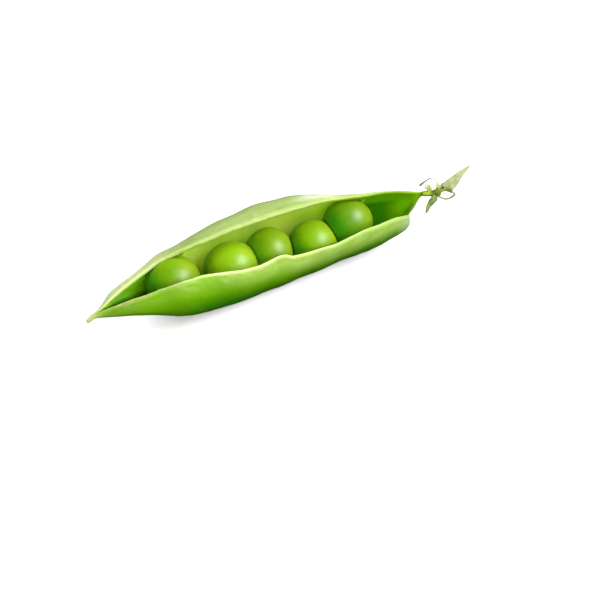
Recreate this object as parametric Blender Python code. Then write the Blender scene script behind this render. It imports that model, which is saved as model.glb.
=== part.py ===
"""An opened garden pea pod with its five peas, lying on a flat surface.

Metres, +Z up. The pod lies along +X, its dried beak at the low end of X and its picked stalk
at the high end. Its mouth faces up and a little towards -Y.
"""

import math

import bmesh
import bpy
from mathutils import Vector

MM = 0.001

# Overall
POD_LENGTH = 69.0
AXIS_HEIGHT = 6.9
LEAN = math.radians(35.2)
PIECE_GAP = 0.3
ROUND_FROM = Vector((0.13, 0.31, 0.94))

# How rough the surfaces are, from the tight skin of the peas to the withered threads
TIGHT, WAXY, MOIST, DULL, PAPERY, FIBROUS = 0.35, 0.42, 0.5, 0.6, 0.7, 0.8

# Wall of the valves, and the rounding of its rims
WALL = 0.85
WALL_SHARE = 0.4
RIM_ROUND = 0.22
RIM_ROUND_SHARE = 0.3
CONTOUR_POINTS = 22
POD_GREEN = (0.27, 0.5, 0.06)

# Pod sections along X, in mm from the tip: (x, value)
CENTRE_ACROSS = ((-1.3, -0.95), (0.4, -0.5), (5, -0.3), (10, -0.7), (17, -0.95), (24, 0.0),
                 (30, 0.6), (36, 0.85), (42, 0.7), (47, 0.4), (52, -0.4), (57, -1.3),
                 (62, -1.2), (66, -0.5), (69, 0.12))
MOUTH_TURN = ((-1.3, 42), (10, 42), (17, 40), (24, 28), (30, 18), (36, 12), (42, 9), (47, 8),
              (52, 13), (57, 20), (62, 25), (66, 30), (69, 30))
FAR_MOUTH = ((-1.3, 0.05), (0.2, 0.08), (1.4, 0.15), (5, 0.75), (10, 2.3), (17, 3.5),
             (24, 3.05), (30, 3.35), (36, 3.5), (42, 3.7), (47, 3.75), (52, 3.3), (57, 2.95),
             (62, 2.05), (66, 0.8), (69, 0.1))
NEAR_MOUTH = ((-1.3, 0.05), (0.2, 0.08), (1.4, 0.3), (5, 2.05), (10, 2.9), (17, 3.9),
              (20, 3.95), (24, 4.55), (28, 5.0), (31.2, 5.0), (33.6, 4.6), (35.4, 4.25),
              (36.6, 4.3), (38.4, 4.85), (40.5, 4.95), (43, 4.85), (46, 4.75), (50, 4.2),
              (54, 3.6), (57, 3.4), (60, 3.5), (62, 3.75), (63.6, 3.3), (67, 0.6), (69, 0.1))
FAR_HALF = ((-1.3, 0.35), (-0.6, 0.5), (0.4, 0.52), (1.4, 0.85), (5, 3.3), (10, 5.3),
            (17, 7.8), (24, 7.8), (30, 7.9), (36, 8.1), (42, 7.8), (47, 6.8), (52, 5.3),
            (57, 4.5), (62, 3.3), (66, 1.7), (69, 0.44))
NEAR_HALF = ((-1.3, 0.35), (-0.6, 0.5), (0.4, 0.52), (1.4, 0.75), (5, 2.2), (10, 3.5),
             (17, 5.6), (24, 7.3), (30, 7.9), (36, 7.95), (42, 7.6), (47, 7.1), (52, 6.1),
             (57, 5.2), (62, 4.6), (66, 2.3), (69, 0.44))
KEEL_DEPTH = ((-1.3, 0.3), (-0.6, 0.4), (0.4, 0.45), (1.4, 0.8), (5, 2.2), (10, 3.8),
              (17, 6.3), (24, 7.2), (30, 7.4), (36, 7.4), (42, 7.3), (47, 7.1), (52, 6.7),
              (57, 6.0), (62, 5.0), (66, 2.05), (69, 0.44))
RIM_HEIGHT = ((-1.3, 0.3), (-0.6, 0.4), (0.4, 0.45), (1.4, 0.8), (5, 2.5), (10, 3.9),
              (17, 5.5), (24, 6.0), (30, 6.2), (36, 6.3), (42, 6.2), (47, 6.0), (52, 5.7),
              (57, 5.0), (62, 3.9), (66, 2.0), (69, 0.44))
KEEL_SHARPNESS = ((-1.3, 1.0), (0.4, 0.95), (5, 0.62), (15, 0.64), (24, 0.88), (30, 0.97),
                  (46, 0.97), (54, 0.8), (62, 0.62), (69, 0.95))
HOLLOW = ((-1.3, 0.0), (2.4, 0.04), (5.0, 1.0), (65.6, 1.0), (67.8, 0.04), (69, 0.0))
TEAR_START = 61.9
TEAR_END = 63.3
TORN_FRACTION = 0.12

# Where the shell's sections stand: a place each, or parts of the way along the tear
TIP_STATIONS = (-1.3, -1.1, -0.7, -0.1, 0.4, 0.9, 1.4, 2.0, 2.8, 3.6, 4.4, 5.3, 6.3)
BODY_START, BODY_STEP, BODY_SECTIONS = 7.5, 1.75, 31
TEAR_STEPS = (-0.6, 0, 0.25, 0.46, 0.64, 0.8, 0.92, 1)
NECK_STATIONS = (63.9, 64.7, 65.5, 66.2, 67.0, 67.8, 68.4, POD_LENGTH)

# Peas: x, across, out, half length, half breadth
PEAS = {
    "pea_1": (16.5, 0.55, -0.2, 5.35, 5.0),
    "pea_2": (27.85, -0.7, 0.1, 5.35, 5.0),
    "pea_3": (36.05, -0.55, -0.8, 4.75, 4.9),
    "pea_4": (44.4, -1.8, 0.3, 4.8, 4.65),
    "pea_5": (52.2, -0.2, 0.7, 4.95, 4.7),
}
PEA_RINGS = 18
PEA_SIDES = 28
PEA_POLE = 0.35
PEA_TO_WALL = 0.42
PEA_LEAST_REACH = 0.2
PRESSED_SHARE = 0.995
PEA_GREEN = (0.25, 0.52, 0.03)

# Seed stalks: pea, side (1 far, -1 near), place along the pea from its middle to its end
FUNICLES = (("pea_1", 1, 0.68), ("pea_2", -1, -0.62), ("pea_3", -1, -0.62), ("pea_4", -1, 0.62),
            ("pea_5", 1, 0.84))
FUNICLE_RADIUS = 0.35
FUNICLE_START = 0.93
FUNICLE_RISE = 0.1
FUNICLE_TO_PEA = 0.5
FUNICLE_THIN, FUNICLE_WIDE = 0.85, 1.15
FUNICLE_RINGS = 7
FUNICLE_SIDES = 10
FUNICLE_GREEN = (0.45, 0.62, 0.15)

# Stem end, each point as (x, across, out) in mm, each piece clear of its neighbours
# Stems: points, radii spread evenly along them, rings, sides
STEMS = {
    "calyx_cup": (((69.3, 0.05, 0), (70.1, -0.25, 0), (70.9, -0.5, 0), (71.7, -0.72, 0),
                   (72.35, -0.7, 0)), (0.44, 0.43, 0.55, 0.76, 0.5), 17, 20),
    "pedicel": (((72.75, -0.55, -0.05), (73.4, -0.72, -0.05), (74.1, -1.05, -0.05),
                 (74.85, -1.55, -0.05)), (0.28, 0.26, 0.26, 0.34), 9, 14),
}
STEM_GREEN = (0.36, 0.42, 0.1)

# Sepals: points, half width along them, thickness, cupping
SEPALS = {
    "sepal_long": (((73.8, -0.25, 0.85), (75.6, 0.35, 1.0), (77.3, 1.2, 1.1), (78.7, 1.67, 1.0),
                    (80.3, 2.3, 0.85)),
                   ((0, 0.7), (0.13, 1.05), (0.3, 1.0), (0.53, 0.66), (0.75, 0.42), (1, 0.08)),
                   0.3, 0.2),
    "sepal_droop": (((70.45, -1.55, 0.5), (69.5, -2.05, 0.75), (68.6, -2.75, 0.7),
                     (67.85, -3.8, 0.4)),
                    ((0, 0.5), (0.25, 0.64), (0.6, 0.5), (0.85, 0.3), (1, 0.08)), 0.26, 0.5),
    "sepal_curl_1": (((70.3, 0.85, 0.35), (70.1, 1.15, 0.75), (69.7, 1.3, 1.1),
                      (69.15, 1.25, 1.4)),
                     ((0, 0.35), (0.4, 0.6), (0.75, 0.5), (1, 0.16)), 0.28, 0.35),
    "sepal_curl_2": (((71.6, 0.4, 0.55), (71.8, 0.62, 0.9), (71.65, 0.7, 1.3),
                      (71.3, 0.65, 1.65)),
                     ((0, 0.32), (0.4, 0.55), (0.75, 0.45), (1, 0.14)), 0.28, 0.35),
    "sepal_under": (((73.45, 0.1, -0.75), (74.8, 0.35, -1.0), (76.3, 0.85, -1.1),
                     (77.8, 1.35, -1.0)),
                    ((0, 0.32), (0.35, 0.62), (0.7, 0.42), (1, 0.08)), 0.28, 0.25),
}
SEPAL_RINGS = 10
SEPAL_SIDES = 14
NARROW_THICKNESS = 0.55
DRY_OLIVE = (0.5, 0.53, 0.24)

# Withered threads
THREADS = {
    "stamen_arc": ((72.45, 0.35, -0.2), (72.6, 1.2, -0.1), (72.2, 2.1, 0.0), (71.3, 2.42, 0.0),
                   (70.4, 2.2, 0.0), (69.5, 1.98, 0.0), (68.8, 1.65, 0.0)),
    "stamen_loop": ((71.6, -1.95, 0.3), (72.5, -2.25, 0.4), (73.25, -2.52, 0.4),
                    (74.25, -2.45, 0.4), (74.95, -2.15, 0.3)),
}
THREAD_RADIUS = 0.17
THREAD_RINGS = 17
THREAD_SIDES = 8
GREY_BROWN = (0.16, 0.17, 0.12)


def smooth_value(table, x):
    """Value at x of the smooth, non-overshooting curve through a table of (x, value)."""
    if x <= table[0][0]:
        return table[0][1]
    if x >= table[-1][0]:
        return table[-1][1]
    i = 0
    while table[i + 1][0] < x:
        i += 1
    slopes = [slope_at(table, j) for j in (i, i + 1)]
    x0, y0 = table[i]
    x1, y1 = table[i + 1]
    h = x1 - x0
    t = (x - x0) / h
    a = (1 + 2 * t) * (1 - t) ** 2
    b = t * (1 - t) ** 2
    c = t * t * (3 - 2 * t)
    d = t * t * (t - 1)
    return a * y0 + b * h * slopes[0] + c * y1 + d * h * slopes[1]


def slope_at(table, j):
    """Slope through point j: the harmonic mean of its two sides, zero at a peak."""
    if j == 0 or j == len(table) - 1:
        return 0.0
    before = (table[j][1] - table[j - 1][1]) / (table[j][0] - table[j - 1][0])
    after = (table[j + 1][1] - table[j][1]) / (table[j + 1][0] - table[j][0])
    if before * after <= 0:
        return 0.0
    return 2 * before * after / (before + after)


def place(x, across, out):
    """A point from its distance along, across and out of the lying pod, in mm."""
    y = across * math.cos(LEAN) - out * math.sin(LEAN)
    z = across * math.sin(LEAN) + out * math.cos(LEAN)
    return Vector((x, y, AXIS_HEIGHT + z))


def section_axes(x):
    """Centre of the section at x, its direction to the far side and its direction to the mouth."""
    turn = LEAN - math.radians(smooth_value(MOUTH_TURN, x))
    centre = Vector((x, smooth_value(CENTRE_ACROSS, x) / math.cos(LEAN), AXIS_HEIGHT))
    side = Vector((0, math.cos(turn), math.sin(turn)))
    mouth = Vector((0, -math.sin(turn), math.cos(turn)))
    return centre, side, mouth


def valve_point(x, q, inset):
    """Point of the section at x: q is -1 at the near rim, 0 at the keel and 1 at the far rim."""
    half = smooth_value(FAR_HALF if q > 0 else NEAR_HALF, x) - inset
    keel = smooth_value(KEEL_DEPTH, x) - inset
    rim = smooth_value(RIM_HEIGHT, x) - inset
    mouth = smooth_value(FAR_MOUTH if q > 0 else NEAR_MOUTH, x)
    sign = 1 if q > 0 else -1
    part = min(abs(q), 1.0) * 2
    if part <= 1:
        angle = part * math.pi / 2
        lift = (1 - math.cos(angle)) ** smooth_value(KEEL_SHARPNESS, x)
        return sign * half * math.sin(angle), -keel + keel * lift
    angle = (part - 1) * math.pi / 2
    return sign * (mouth + (half - mouth) * math.cos(angle)), rim * math.sin(angle)


def near_reach(x):
    """How far the near valve runs up from the keel: all the way, until it is torn off the neck."""
    if x <= TEAR_START:
        return 1.0
    if x >= TEAR_END:
        return TORN_FRACTION
    part = (x - TEAR_START) / (TEAR_END - TEAR_START)
    return TORN_FRACTION + (1 - TORN_FRACTION) * math.sqrt(1 - part * part)


def shell_ring(x):
    """Closed ring of points round the wall at x: outside, far rim, inside, near rim."""
    centre, side, mouth = section_axes(x)
    low = -near_reach(x)
    steps = [low + (1 - low) * i / (CONTOUR_POINTS - 1) for i in range(CONTOUR_POINTS)]
    wall = min(WALL, WALL_SHARE * smooth_value(NEAR_HALF, x))
    outer = [valve_point(x, q, 0) for q in steps]
    inner = [valve_point(x, q, wall) for q in steps]
    hollow = smooth_value(HOLLOW, x)
    filled = []
    for i, (u, v) in enumerate(inner):
        part = i / (CONTOUR_POINTS - 1)
        line_u = inner[0][0] + (inner[-1][0] - inner[0][0]) * part
        line_v = inner[0][1] + (inner[-1][1] - inner[0][1]) * part
        filled.append((line_u + (u - line_u) * hollow, line_v + (v - line_v) * hollow))
    far_rim = rim_point(outer[-1], inner[-1], outer[-2])
    near_rim = rim_point(outer[0], inner[0], outer[1])
    ring = outer + [far_rim] + filled[::-1] + [near_rim]
    return [centre + side * u + mouth * v for u, v in ring]


def rim_point(outside, inside, before):
    """The crest of a rim, a little beyond the two edges of the wall."""
    ahead = Vector((outside[0] - before[0], outside[1] - before[1])).normalized()
    thick = math.hypot(outside[0] - inside[0], outside[1] - inside[1])
    middle = Vector(((outside[0] + inside[0]) / 2, (outside[1] + inside[1]) / 2))
    crest = middle + ahead * min(RIM_ROUND, RIM_ROUND_SHARE * thick)
    return crest.x, crest.y


def shell_stations():
    """Section positions along X, closer together at the tip, at the tear and at the neck."""
    tear = [TEAR_START + part * (TEAR_END - TEAR_START) for part in TEAR_STEPS]
    body = [BODY_START + BODY_STEP * i for i in range(BODY_SECTIONS)]
    return list(TIP_STATIONS) + body + tear + list(NECK_STATIONS)


def material(name, colour, roughness):
    """A plain surface of one colour."""
    made = bpy.data.materials.new(name)
    made.use_nodes = True
    shader = made.node_tree.nodes["Principled BSDF"]
    shader.inputs["Base Color"].default_value = (*colour, 1)
    shader.inputs["Roughness"].default_value = roughness
    return made


def add_piece(name, rings, colour, roughness, rest=False):
    """A closed solid from rings of points given in mm, each ring joined to the next."""
    mesh = bmesh.new()
    rows = []
    for ring in rings:
        row = []
        for point in ring:
            lifted = point.copy()
            if rest:
                lifted.z = max(lifted.z, 0.0)
            row.append(mesh.verts.new(lifted * MM))
        rows.append(row)
    for first, second in zip(rows, rows[1:]):
        for i in range(len(first)):
            j = (i + 1) % len(first)
            mesh.faces.new((first[i], first[j], second[j], second[i]))
    mesh.faces.new(rows[0][::-1])
    mesh.faces.new(rows[-1])
    bmesh.ops.triangulate(mesh, faces=mesh.faces[:])
    bmesh.ops.recalc_face_normals(mesh, faces=mesh.faces[:])
    data = bpy.data.meshes.new(name)
    mesh.to_mesh(data)
    mesh.free()
    data.materials.append(material(name, colour, roughness))
    piece = bpy.data.objects.new(name, data)
    bpy.context.collection.objects.link(piece)
    return piece


def pea_centre(name):
    """Centre of a pea."""
    x, across, out = PEAS[name][:3]
    return place(x, across, out)


def into_cavity(point, clearance):
    """The point, moved inside the cavity wall where it would come nearer than the clearance."""
    centre, side, mouth = section_axes(point.x)
    offset = point - centre
    u = offset.dot(side)
    v = offset.dot(mouth)
    inset = WALL + clearance
    half = smooth_value(FAR_HALF if u > 0 else NEAR_HALF, point.x) - inset
    keel = smooth_value(KEEL_DEPTH, point.x) - inset
    rim = smooth_value(RIM_HEIGHT, point.x) - inset
    edge = smooth_value(FAR_MOUTH if u > 0 else NEAR_MOUTH, point.x)
    sign = 1 if u > 0 else -1
    u = sign * min(abs(u), half)
    if v < 0:
        angle = math.asin(abs(u) / half)
        lift = (1 - math.cos(angle)) ** smooth_value(KEEL_SHARPNESS, point.x)
        v = max(v, -keel + keel * lift)
    elif v < rim and abs(u) > edge:
        most = edge + (half - edge) * math.sqrt(1 - (v / rim) ** 2)
        u = sign * min(abs(u), most)
    elif v >= rim:
        u = sign * min(abs(u), max(edge - clearance, PEA_LEAST_REACH))
    return centre + side * u + mouth * v


def pea_rings(name):
    """Rings of a pea, from pole to pole along X, flattened where a neighbour presses on it."""
    half_length, half_breadth = PEAS[name][3:]
    centre = pea_centre(name)
    names = list(PEAS)
    index = names.index(name)
    near = [names[i] for i in (index - 1, index + 1) if 0 <= i < len(names)]
    rings = []
    for i in range(PEA_RINGS + 1):
        polar = math.pi * (i + PEA_POLE) / (PEA_RINGS + 2 * PEA_POLE)
        ring = []
        for j in range(PEA_SIDES):
            angle = 2 * math.pi * j / PEA_SIDES
            x = -half_length * math.cos(polar)
            radius = half_breadth * math.sin(polar)
            point = centre + Vector((x, radius * math.cos(angle), radius * math.sin(angle)))
            for other in near:
                point = press(point, centre, half_length, pea_centre(other), PEAS[other][3])
            ring.append(into_cavity(point, PEA_TO_WALL))
        rings.append(ring)
    return rings


def press(point, centre, half_length, other, other_half):
    """The point, held behind the plane where two neighbouring peas meet."""
    way = other - centre
    span = way.length
    way.normalize()
    reach = span * half_length / (half_length + other_half) - PIECE_GAP / 2
    over = (point - centre).dot(way) - reach
    if over <= 0:
        return point
    return point - way * over * PRESSED_SHARE


def tube_rings(path, radii, sides):
    """Rings of a round stalk along a path of points."""
    rings = []
    for i, point in enumerate(path):
        before = path[max(i - 1, 0)]
        after = path[min(i + 1, len(path) - 1)]
        along = (after - before).normalized()
        first = along.cross(ROUND_FROM).normalized()
        second = along.cross(first).normalized()
        ring = []
        for j in range(sides):
            angle = 2 * math.pi * j / sides
            spoke = first * math.cos(angle) + second * math.sin(angle)
            ring.append(point + spoke * radii[i])
        rings.append(ring)
    return rings


def curve_through(points, count):
    """Evenly counted points of the smooth curve through a few."""
    padded = [points[0] * 2 - points[1]] + list(points) + [points[-1] * 2 - points[-2]]
    path = []
    for i in range(count):
        at = i / (count - 1) * (len(points) - 1)
        k = min(int(at), len(points) - 2)
        t = at - k
        p0, p1, p2, p3 = padded[k:k + 4]
        path.append(0.5 * (p1 * 2 + (p2 - p0) * t + (p0 * 2 - p1 * 5 + p2 * 4 - p3) * t * t
                           + (p1 * 3 - p0 - p2 * 3 + p3) * t ** 3))
    return path


def blade_rings(points, widths, thickness, facing, cup):
    """Rings of a thin pointed leaf: a lens section, cupped towards the way it faces."""
    path = curve_through(points, SEPAL_RINGS)
    rings = []
    for i, point in enumerate(path):
        part = i / (len(path) - 1)
        before = path[max(i - 1, 0)]
        after = path[min(i + 1, len(path) - 1)]
        along = (after - before).normalized()
        breadth = along.cross(facing).normalized()
        normal = breadth.cross(along).normalized()
        half = smooth_value(widths, part)
        thick = thickness * (NARROW_THICKNESS + (1 - NARROW_THICKNESS) * min(1.0, half))
        ring = []
        for j in range(SEPAL_SIDES):
            angle = 2 * math.pi * j / SEPAL_SIDES
            sideways = math.cos(angle)
            lift = math.sin(angle) * thick / 2 + cup * half * sideways * sideways
            ring.append(point + breadth * half * sideways + normal * lift)
        rings.append(ring)
    return rings


def places(*points):
    """Points given as distances along, across and out."""
    return [place(*point) for point in points]


def build_pod():
    """The two valves, joined along the keel and at both ends."""
    rings = [shell_ring(x) for x in shell_stations()]
    add_piece("pod_shell", rings, POD_GREEN, WAXY, rest=True)


def build_peas():
    """The five peas."""
    for name in PEAS:
        add_piece(name, pea_rings(name), PEA_GREEN, TIGHT)


def build_funicles():
    """One short seed stalk for each pea, down from the rim it grew on to the pea's shoulder."""
    for number, (name, sign, shoulder) in enumerate(FUNICLES, 1):
        half_length, half_breadth = PEAS[name][3:]
        pea = pea_centre(name)
        x = pea.x + shoulder * half_length
        centre, side, mouth = section_axes(x)
        u, v = valve_point(x, FUNICLE_START * sign, WALL + PIECE_GAP + FUNICLE_RADIUS)
        start = centre + side * u + mouth * v
        way = (start - pea).normalized()
        flat = (way.y ** 2 + way.z ** 2) / half_breadth ** 2
        surface = 1 / math.sqrt(way.x ** 2 / half_length ** 2 + flat)
        end = pea + way * (surface + FUNICLE_TO_PEA)
        middle = (start + end) / 2 + mouth * FUNICLE_RISE
        path = curve_through([start, middle, end], FUNICLE_RINGS)
        widening = (FUNICLE_WIDE - FUNICLE_THIN) / (FUNICLE_RINGS - 1)
        radii = [FUNICLE_RADIUS * (FUNICLE_THIN + widening * i) for i in range(FUNICLE_RINGS)]
        rings = tube_rings(path, radii, FUNICLE_SIDES)
        add_piece(f"funicle_{number}", rings, FUNICLE_GREEN, MOIST)


def build_stem_end():
    """The receptacle and the picked stalk, both of the same dull green tissue."""
    for name, (points, radii, rings, sides) in STEMS.items():
        path = curve_through(places(*points), rings)
        table = [(i / (len(radii) - 1), value) for i, value in enumerate(radii)]
        along = [smooth_value(table, i / (rings - 1)) for i in range(rings)]
        add_piece(name, tube_rings(path, along, sides), STEM_GREEN, DULL)


def build_sepals():
    """The five dried sepals, each a thin blade that faces outward or, for the lowest, inward."""
    outward = place(0, 0, 1) - place(0, 0, 0)
    for name, (points, widths, thickness, cup) in SEPALS.items():
        facing = -outward if name == "sepal_under" else outward
        rings = blade_rings(places(*points), widths, thickness, facing, cup)
        add_piece(name, rings, DRY_OLIVE, PAPERY)


def build_threads():
    """The withered stamens."""
    for name, points in THREADS.items():
        path = curve_through(places(*points), THREAD_RINGS)
        rings = tube_rings(path, [THREAD_RADIUS] * THREAD_RINGS, THREAD_SIDES)
        add_piece(name, rings, GREY_BROWN, FIBROUS)


def centre_on_origin():
    """Moves every piece so that the bottom centre of the whole is at the origin."""
    pieces = list(bpy.data.objects)
    points = [vertex.co for piece in pieces for vertex in piece.data.vertices]
    low = Vector([min(p[i] for p in points) for i in range(3)])
    high = Vector([max(p[i] for p in points) for i in range(3)])
    shift = Vector((-(low.x + high.x) / 2, -(low.y + high.y) / 2, -low.z))
    for piece in pieces:
        for vertex in piece.data.vertices:
            vertex.co += shift


for old in list(bpy.data.objects):
    bpy.data.objects.remove(old)
build_pod()
build_peas()
build_funicles()
build_stem_end()
build_sepals()
build_threads()
centre_on_origin()
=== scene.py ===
"""Looks of the opened pea pod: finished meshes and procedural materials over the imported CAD.

Lengths inside the pieces are millimetres, turned to metres by lie() and MM. The pod lies along +X, its dried
beak at the low end, its picked stalk at the high end and its mouth up, leaning a little towards -Y.
"""

import math

import bpy
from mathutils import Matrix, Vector, noise


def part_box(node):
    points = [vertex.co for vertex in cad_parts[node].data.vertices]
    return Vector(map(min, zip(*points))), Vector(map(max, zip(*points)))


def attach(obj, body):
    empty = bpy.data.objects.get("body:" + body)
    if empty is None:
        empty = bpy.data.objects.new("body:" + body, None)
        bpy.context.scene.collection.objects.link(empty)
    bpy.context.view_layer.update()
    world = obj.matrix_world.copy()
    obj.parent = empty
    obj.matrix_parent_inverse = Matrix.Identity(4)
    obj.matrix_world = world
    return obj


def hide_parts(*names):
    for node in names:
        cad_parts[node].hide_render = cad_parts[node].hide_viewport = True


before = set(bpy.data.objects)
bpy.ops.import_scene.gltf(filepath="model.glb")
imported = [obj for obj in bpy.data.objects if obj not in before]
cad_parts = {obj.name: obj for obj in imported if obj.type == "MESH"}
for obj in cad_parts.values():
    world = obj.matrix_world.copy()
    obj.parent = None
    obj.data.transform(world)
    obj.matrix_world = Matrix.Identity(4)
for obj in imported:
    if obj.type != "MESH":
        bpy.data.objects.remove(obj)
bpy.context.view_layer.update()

# ------------------------------------------------------------------------------------------------
# Pod shell
# The two valves of the fruit, grown as one skin, waxy and veined outside and smooth inside. They stay
# joined along the keel and at both ends, and have split apart along the mouth. The near valve has torn
# free of the neck.

MM = 0.001
LEAN = math.radians(35.2)
AXIS_HEIGHT = 6.9
NUB_END, NECK_END = -1.3, 69.0

# Sections along the pod, each entry (mm from the tip, value)
CENTRE_ACROSS = ((-1.3, -0.95), (0.4, -0.5), (5, -0.3), (10, -0.7), (17, -0.95), (24, 0.0),
                 (30, 0.6), (36, 0.85), (42, 0.7), (47, 0.4), (52, -0.4), (57, -1.3),
                 (62, -1.2), (66, -0.5), (69, 0.12))
MOUTH_TURN = ((-1.3, 42), (10, 42), (17, 40), (24, 28), (30, 18), (36, 12), (42, 9), (47, 8),
              (52, 13), (57, 20), (62, 25), (66, 30), (69, 30))
FAR_MOUTH = ((-1.3, 0.05), (0.2, 0.08), (1.4, 0.15), (5, 0.75), (10, 2.3), (17, 3.5),
             (24, 3.05), (30, 3.35), (36, 3.5), (42, 3.7), (47, 3.75), (52, 3.3), (57, 2.95),
             (62, 2.05), (66, 0.8), (69, 0.1))
NEAR_MOUTH = ((-1.3, 0.05), (0.2, 0.08), (1.4, 0.3), (5, 2.05), (10, 2.9), (17, 3.9),
              (20, 3.95), (24, 4.55), (28, 5.0), (31.2, 5.0), (33.6, 4.6), (35.4, 4.25),
              (36.6, 4.3), (38.4, 4.85), (40.5, 4.95), (43, 4.85), (46, 4.75), (50, 4.2),
              (54, 3.6), (57, 3.4), (60, 3.5), (62, 3.75), (63.6, 3.3), (67, 0.6), (69, 0.1))
FAR_HALF = ((-1.3, 0.35), (-0.6, 0.5), (0.4, 0.52), (1.4, 0.85), (5, 3.3), (10, 5.3),
            (17, 7.8), (24, 7.8), (30, 7.9), (36, 8.1), (42, 7.8), (47, 6.8), (52, 5.3),
            (57, 4.5), (62, 3.3), (66, 1.7), (69, 0.44))
NEAR_HALF = ((-1.3, 0.35), (-0.6, 0.5), (0.4, 0.52), (1.4, 0.75), (5, 2.2), (10, 3.5),
             (17, 5.6), (24, 7.3), (30, 7.9), (36, 7.95), (42, 7.6), (47, 7.1), (52, 6.1),
             (57, 5.2), (62, 4.6), (66, 2.3), (69, 0.44))
KEEL_DEPTH = ((-1.3, 0.3), (-0.6, 0.4), (0.4, 0.45), (1.4, 0.8), (5, 2.2), (10, 3.8),
              (17, 6.3), (24, 7.2), (30, 7.4), (36, 7.4), (42, 7.3), (47, 7.1), (52, 6.7),
              (57, 6.0), (62, 5.0), (66, 2.05), (69, 0.44))
RIM_HEIGHT = ((-1.3, 0.3), (-0.6, 0.4), (0.4, 0.45), (1.4, 0.8), (5, 2.5), (10, 3.9),
              (17, 5.5), (24, 6.0), (30, 6.2), (36, 6.3), (42, 6.2), (47, 6.0), (52, 5.7),
              (57, 5.0), (62, 3.9), (66, 2.0), (69, 0.44))
KEEL_SHARPNESS = ((-1.3, 1.0), (0.4, 0.95), (5, 0.62), (15, 0.64), (24, 0.88), (30, 0.97),
                  (46, 0.97), (54, 0.8), (62, 0.62), (69, 0.95))
HOLLOW = ((-1.3, 0.0), (2.4, 0.04), (5.0, 1.0), (65.6, 1.0), (67.8, 0.04), (69, 0.0))
TEAR_START, TEAR_END, TORN_FRACTION, TEAR_RAGGED = 61.9, 63.3, 0.12, 0.05
WALL, WALL_SHARE = 0.85, 0.4
LIP, LIP_SHARE = 0.24, 0.32

# How far the skin stands out, in mm, and how wide that is: seeds in mm, the rest as a share of a valve
SEED_PLACES = (16.5, 27.85, 36.05, 44.4, 52.2)
SEED_SWELL, SEED_SPREAD = 0.2, 3.0
KEEL_CORD, CORD_SPREAD = 0.2, 0.022
RIM_WELT, WELT_SPREAD = 0.1, 0.035
GROOVE, GROOVE_AT, GROOVE_SPREAD = 0.03, 0.9, 0.025
SKIN_WAVE, SKIN_RIPPLE, SKIN_DROP = 0.12, 0.05, 0.04
RIM_WAVE, RIM_RIPPLE = 0.16, 0.09
RIM_CURLS = ((36.0, 1.2, 0.3), (38.3, 0.8, -0.2))

# How finely the mesh is divided
ROUND_STEPS, LIP_STEPS = 116, 7
CROWDING, NUDGE = 0.55, 0.002
STATION_STEP, END_STEP, TEAR_STEP = 0.17, 0.1, 0.035
TIP_STRETCH, NECK_STRETCH, TEAR_STRETCH = 3, 65.5, (61.7, 63.5)
SURVEY_STATIONS, SURVEY_STEP, SURVEY_TURNS = 140, 0.5, 20


def smooth_value(table, x):
    """Value at x of the smooth, non-overshooting curve through a table of (x, value)."""
    if x <= table[0][0]:
        return table[0][1]
    if x >= table[-1][0]:
        return table[-1][1]
    i = 0
    while table[i + 1][0] < x:
        i += 1
    first, second = slope_at(table, i), slope_at(table, i + 1)
    (x0, y0), (x1, y1) = table[i], table[i + 1]
    h = x1 - x0
    t = (x - x0) / h
    rise = t * t * (3 - 2 * t)
    return y0 + (y1 - y0) * rise + h * t * (1 - t) * ((1 - t) * first - t * second)


def slope_at(table, j):
    """Slope through point j: the harmonic mean of its two sides, zero at a peak."""
    if j == 0 or j == len(table) - 1:
        return 0.0
    before = (table[j][1] - table[j - 1][1]) / (table[j][0] - table[j - 1][0])
    after = (table[j + 1][1] - table[j][1]) / (table[j + 1][0] - table[j][0])
    if before * after <= 0:
        return 0.0
    return 2 * before * after / (before + after)


def ease(low, high, x):
    """0 below low, 1 above high and a soft S between them. It falls instead if high is below low."""
    t = min(max((x - low) / (high - low), 0.0), 1.0)
    return t * t * (3 - 2 * t)


def ripple(x, y, z=0.0):
    """Smooth noise between -1 and 1."""
    return noise.noise(Vector((x, y, z)))


class Section:
    """The pod's cross-section at one place along it, in mm."""

    def __init__(self, x):
        self.x = x
        turn = LEAN - math.radians(smooth_value(MOUTH_TURN, x))
        self.centre = Vector((x, smooth_value(CENTRE_ACROSS, x) / math.cos(LEAN), AXIS_HEIGHT))
        self.side = Vector((0, math.cos(turn), math.sin(turn)))
        self.mouth = Vector((0, -math.sin(turn), math.cos(turn)))
        self.half = {1: smooth_value(FAR_HALF, x), -1: smooth_value(NEAR_HALF, x)}
        self.gape = {1: smooth_value(FAR_MOUTH, x), -1: smooth_value(NEAR_MOUTH, x)}
        self.keel = smooth_value(KEEL_DEPTH, x)
        self.rim = smooth_value(RIM_HEIGHT, x)
        self.sharp = smooth_value(KEEL_SHARPNESS, x)

    def point(self, q, inset):
        """(u, v) on the wall: q is -1 at the near rim, 0 at the keel and 1 at the far rim."""
        sign = 1 if q > 0 else -1
        half = self.half[sign] - inset
        keel = self.keel - inset
        part = min(abs(q), 1.0) * 2
        if part <= 1:
            angle = part * math.pi / 2
            lift = (1 - math.cos(angle)) ** self.sharp
            return sign * half * math.sin(angle), -keel + keel * lift
        angle = (part - 1) * math.pi / 2
        gape = self.gape[sign]
        return sign * (gape + (half - gape) * math.cos(angle)), (self.rim - inset) * math.sin(angle)

    def solid(self, u, v):
        """The point in space, in mm, before the pod is set down."""
        return self.centre + self.side * u + self.mouth * v


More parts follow.
